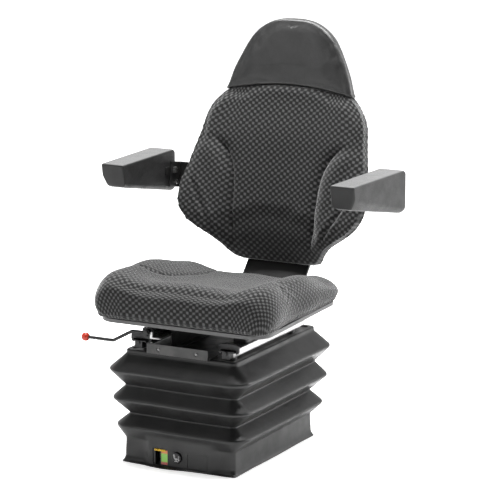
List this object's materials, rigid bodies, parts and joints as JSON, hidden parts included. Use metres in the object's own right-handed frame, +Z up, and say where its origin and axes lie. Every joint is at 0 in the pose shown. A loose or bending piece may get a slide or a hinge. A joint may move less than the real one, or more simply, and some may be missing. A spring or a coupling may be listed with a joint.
{
  "type": "agricultural machine seat",
  "caption": "Operator seat for a farm machine: padded backrest with extension and folding armrests, on slide rails above an air-sprung scissor suspension inside a pleated rubber bellows.",
  "frame": {"origin": "centre of the four floor bolts on the underside of the base plate", "axes": "+Z up, -Y the way the sitter faces, +X to the sitter's left"},
  "size_m": [0.7196, 0.676, 1.0219],
  "materials": {
    "bellows_rubber": "satin",
    "black_steel": "satin",
    "zinc_steel": "bright zinc",
    "fastener_steel": "bright",
    "seat_fabric": "woven with a small light pattern",
    "extension_vinyl": "grained",
    "arm_foam": "moulded foam skin",
    "dark_plastic": "moulded",
    "red_plastic": "gloss",
    "yellow_plastic": "gloss",
    "scale_film": "printed colour bands",
    "cast_alloy": "cast"
  },
  "bodies": {
    "base": {"base_plate": "black_steel", "floor_nuts": "fastener_steel", "lower_races": "black_steel", "race_stops": "bellows_rubber", "base_ears": "black_steel", "bellows": "bellows_rubber", "control_panel": "dark_plastic", "height_scale": "scale_film", "air_piston": "dark_plastic", "air_spring": "bellows_rubber", "compressor": "cast_alloy"},
    "upper_frame": {"top_plate": "black_steel", "upper_races": "black_steel", "upper_ears": "black_steel", "front_plate": "black_steel", "front_bolts": "fastener_steel", "lower_rail_left": "zinc_steel", "lower_rail_right": "zinc_steel", "rail_stops": "dark_plastic", "lock_rack": "zinc_steel"},
    "scissor_outer": {"outer_arm_left": "black_steel", "outer_arm_right": "black_steel", "outer_cross_tube": "black_steel", "outer_tie_tube": "black_steel", "centre_pins": "fastener_steel"},
    "scissor_inner": {"inner_arm_left": "black_steel", "inner_arm_right": "black_steel", "inner_cross_tube": "black_steel"},
    "upper_roller_pair": {"upper_rollers": "dark_plastic"},
    "lower_roller_pair": {"lower_rollers": "dark_plastic"},
    "damper_lower": {"damper_tube": "black_steel"},
    "damper_upper": {"damper_rod": "zinc_steel"},
    "pointer": {"height_pointer": "yellow_plastic"},
    "weight_control": {"weight_knob": "dark_plastic"},
    "seat": {"upper_rail_left": "zinc_steel", "upper_rail_right": "zinc_steel", "rail_glides": "dark_plastic", "rail_bezels": "dark_plastic", "seat_pan": "black_steel", "seat_cushion": "seat_fabric", "lever_bracket": "black_steel", "recliner_ears": "black_steel", "recliner_pin": "fastener_steel"},
    "slide_lever": {"lock_lever": "black_steel", "lever_knob": "red_plastic", "latch_plate": "zinc_steel"},
    "backrest": {"backrest_bracket": "black_steel", "bracket_bolts": "fastener_steel", "backrest_shell": "dark_plastic", "backrest_cushion": "seat_fabric", "stay_guides": "dark_plastic", "armrest_bracket_left": "black_steel", "armrest_bracket_right": "black_steel", "armrest_pivots": "fastener_steel"},
    "extension": {"extension_pad": "extension_vinyl", "extension_stays": "black_steel"},
    "armrest_left": {"armrest_pad_left": "arm_foam", "armrest_plate_left": "black_steel"},
    "armrest_right": {"armrest_pad_right": "arm_foam", "armrest_plate_right": "black_steel"}
  },
  "joints": [
    {"name": "suspension_travel", "type": "slide", "parent": "base", "child": "upper_frame", "axis": [0, 0, 1], "range_m": [-0.08, 0], "stiffness_N_per_m": 5000, "springref_m": 0.15, "deforming": ["bellows", "air_spring"]},
    {"name": "scissor_outer_swing", "type": "hinge", "parent": "base", "child": "scissor_outer", "pos_m": [0, 0.165, 0.022], "axis": [1, 0, 0], "range_deg": [-0.1, 14.9]},
    {"name": "scissor_inner_swing", "type": "hinge", "parent": "upper_frame", "child": "scissor_inner", "pos_m": [0, 0.165, 0.254], "axis": [1, 0, 0], "range_deg": [-14.9, 0.1]},
    {"name": "upper_roller_spin", "type": "hinge", "parent": "scissor_outer", "child": "upper_roller_pair", "pos_m": [0, -0.11808, 0.254], "axis": [1, 0, 0], "continuous": true},
    {"name": "lower_roller_spin", "type": "hinge", "parent": "scissor_inner", "child": "lower_roller_pair", "pos_m": [0, -0.11808, 0.022], "axis": [1, 0, 0], "continuous": true},
    {"name": "damper_swing", "type": "hinge", "parent": "base", "child": "damper_lower", "pos_m": [0.075, -0.1, 0.04], "axis": [1, 0, 0], "range_deg": [-14.7, 0.1]},
    {"name": "damper_slide", "type": "slide", "parent": "damper_lower", "child": "damper_upper", "axis": [0, 0.6764, 0.7365], "range_m": [-0.0521, 0]},
    {"name": "pointer_travel", "type": "slide", "parent": "base", "child": "pointer", "axis": [0, 0, 1], "range_m": [-0.0331, 0]},
    {"name": "weight_adjust", "type": "slide", "parent": "base", "child": "weight_control", "axis": [0, -1, 0], "range_m": [-0.004, 0.004], "stiffness_N_per_m": 800},
    {"name": "fore_aft", "type": "slide", "parent": "upper_frame", "child": "seat", "axis": [0, 1, 0], "range_m": [-0.075, 0.075]},
    {"name": "lock_lever_lift", "type": "hinge", "parent": "seat", "child": "slide_lever", "pos_m": [-0.095, -0.188, 0.322], "axis": [0, 1, 0], "range_deg": [0, 12], "stiffness_Nm_per_rad": 8, "springref_deg": -11.46},
    {"name": "recline", "type": "hinge", "parent": "seat", "child": "backrest", "pos_m": [0, 0.258, 0.34866], "axis": [-1, 0, 0], "range_deg": [-10, 25]},
    {"name": "extension_slide", "type": "slide", "parent": "backrest", "child": "extension", "axis": [0, 0.1616, 0.9869], "range_m": [0, 0.08]},
    {"name": "armrest_left_fold", "type": "hinge", "parent": "backrest", "child": "armrest_left", "pos_m": [0.2835, 0.276, 0.629], "axis": [-1, 0, 0], "range_deg": [0, 90]},
    {"name": "armrest_right_fold", "type": "hinge", "parent": "backrest", "child": "armrest_right", "pos_m": [-0.2835, 0.276, 0.629], "axis": [-1, 0, 0], "range_deg": [0, 90]}
  ],
  "couplings": [
    {"joint": "scissor_outer_swing", "follows": "suspension_travel", "rad_per_m": -3.2285},
    {"joint": "scissor_inner_swing", "follows": "suspension_travel", "rad_per_m": 3.2285},
    {"joint": "damper_swing", "follows": "suspension_travel", "rad_per_m": 3.1933},
    {"joint": "damper_slide", "follows": "suspension_travel", "ratio": 0.64966},
    {"joint": "pointer_travel", "follows": "suspension_travel", "ratio": 0.4125}
  ]
}
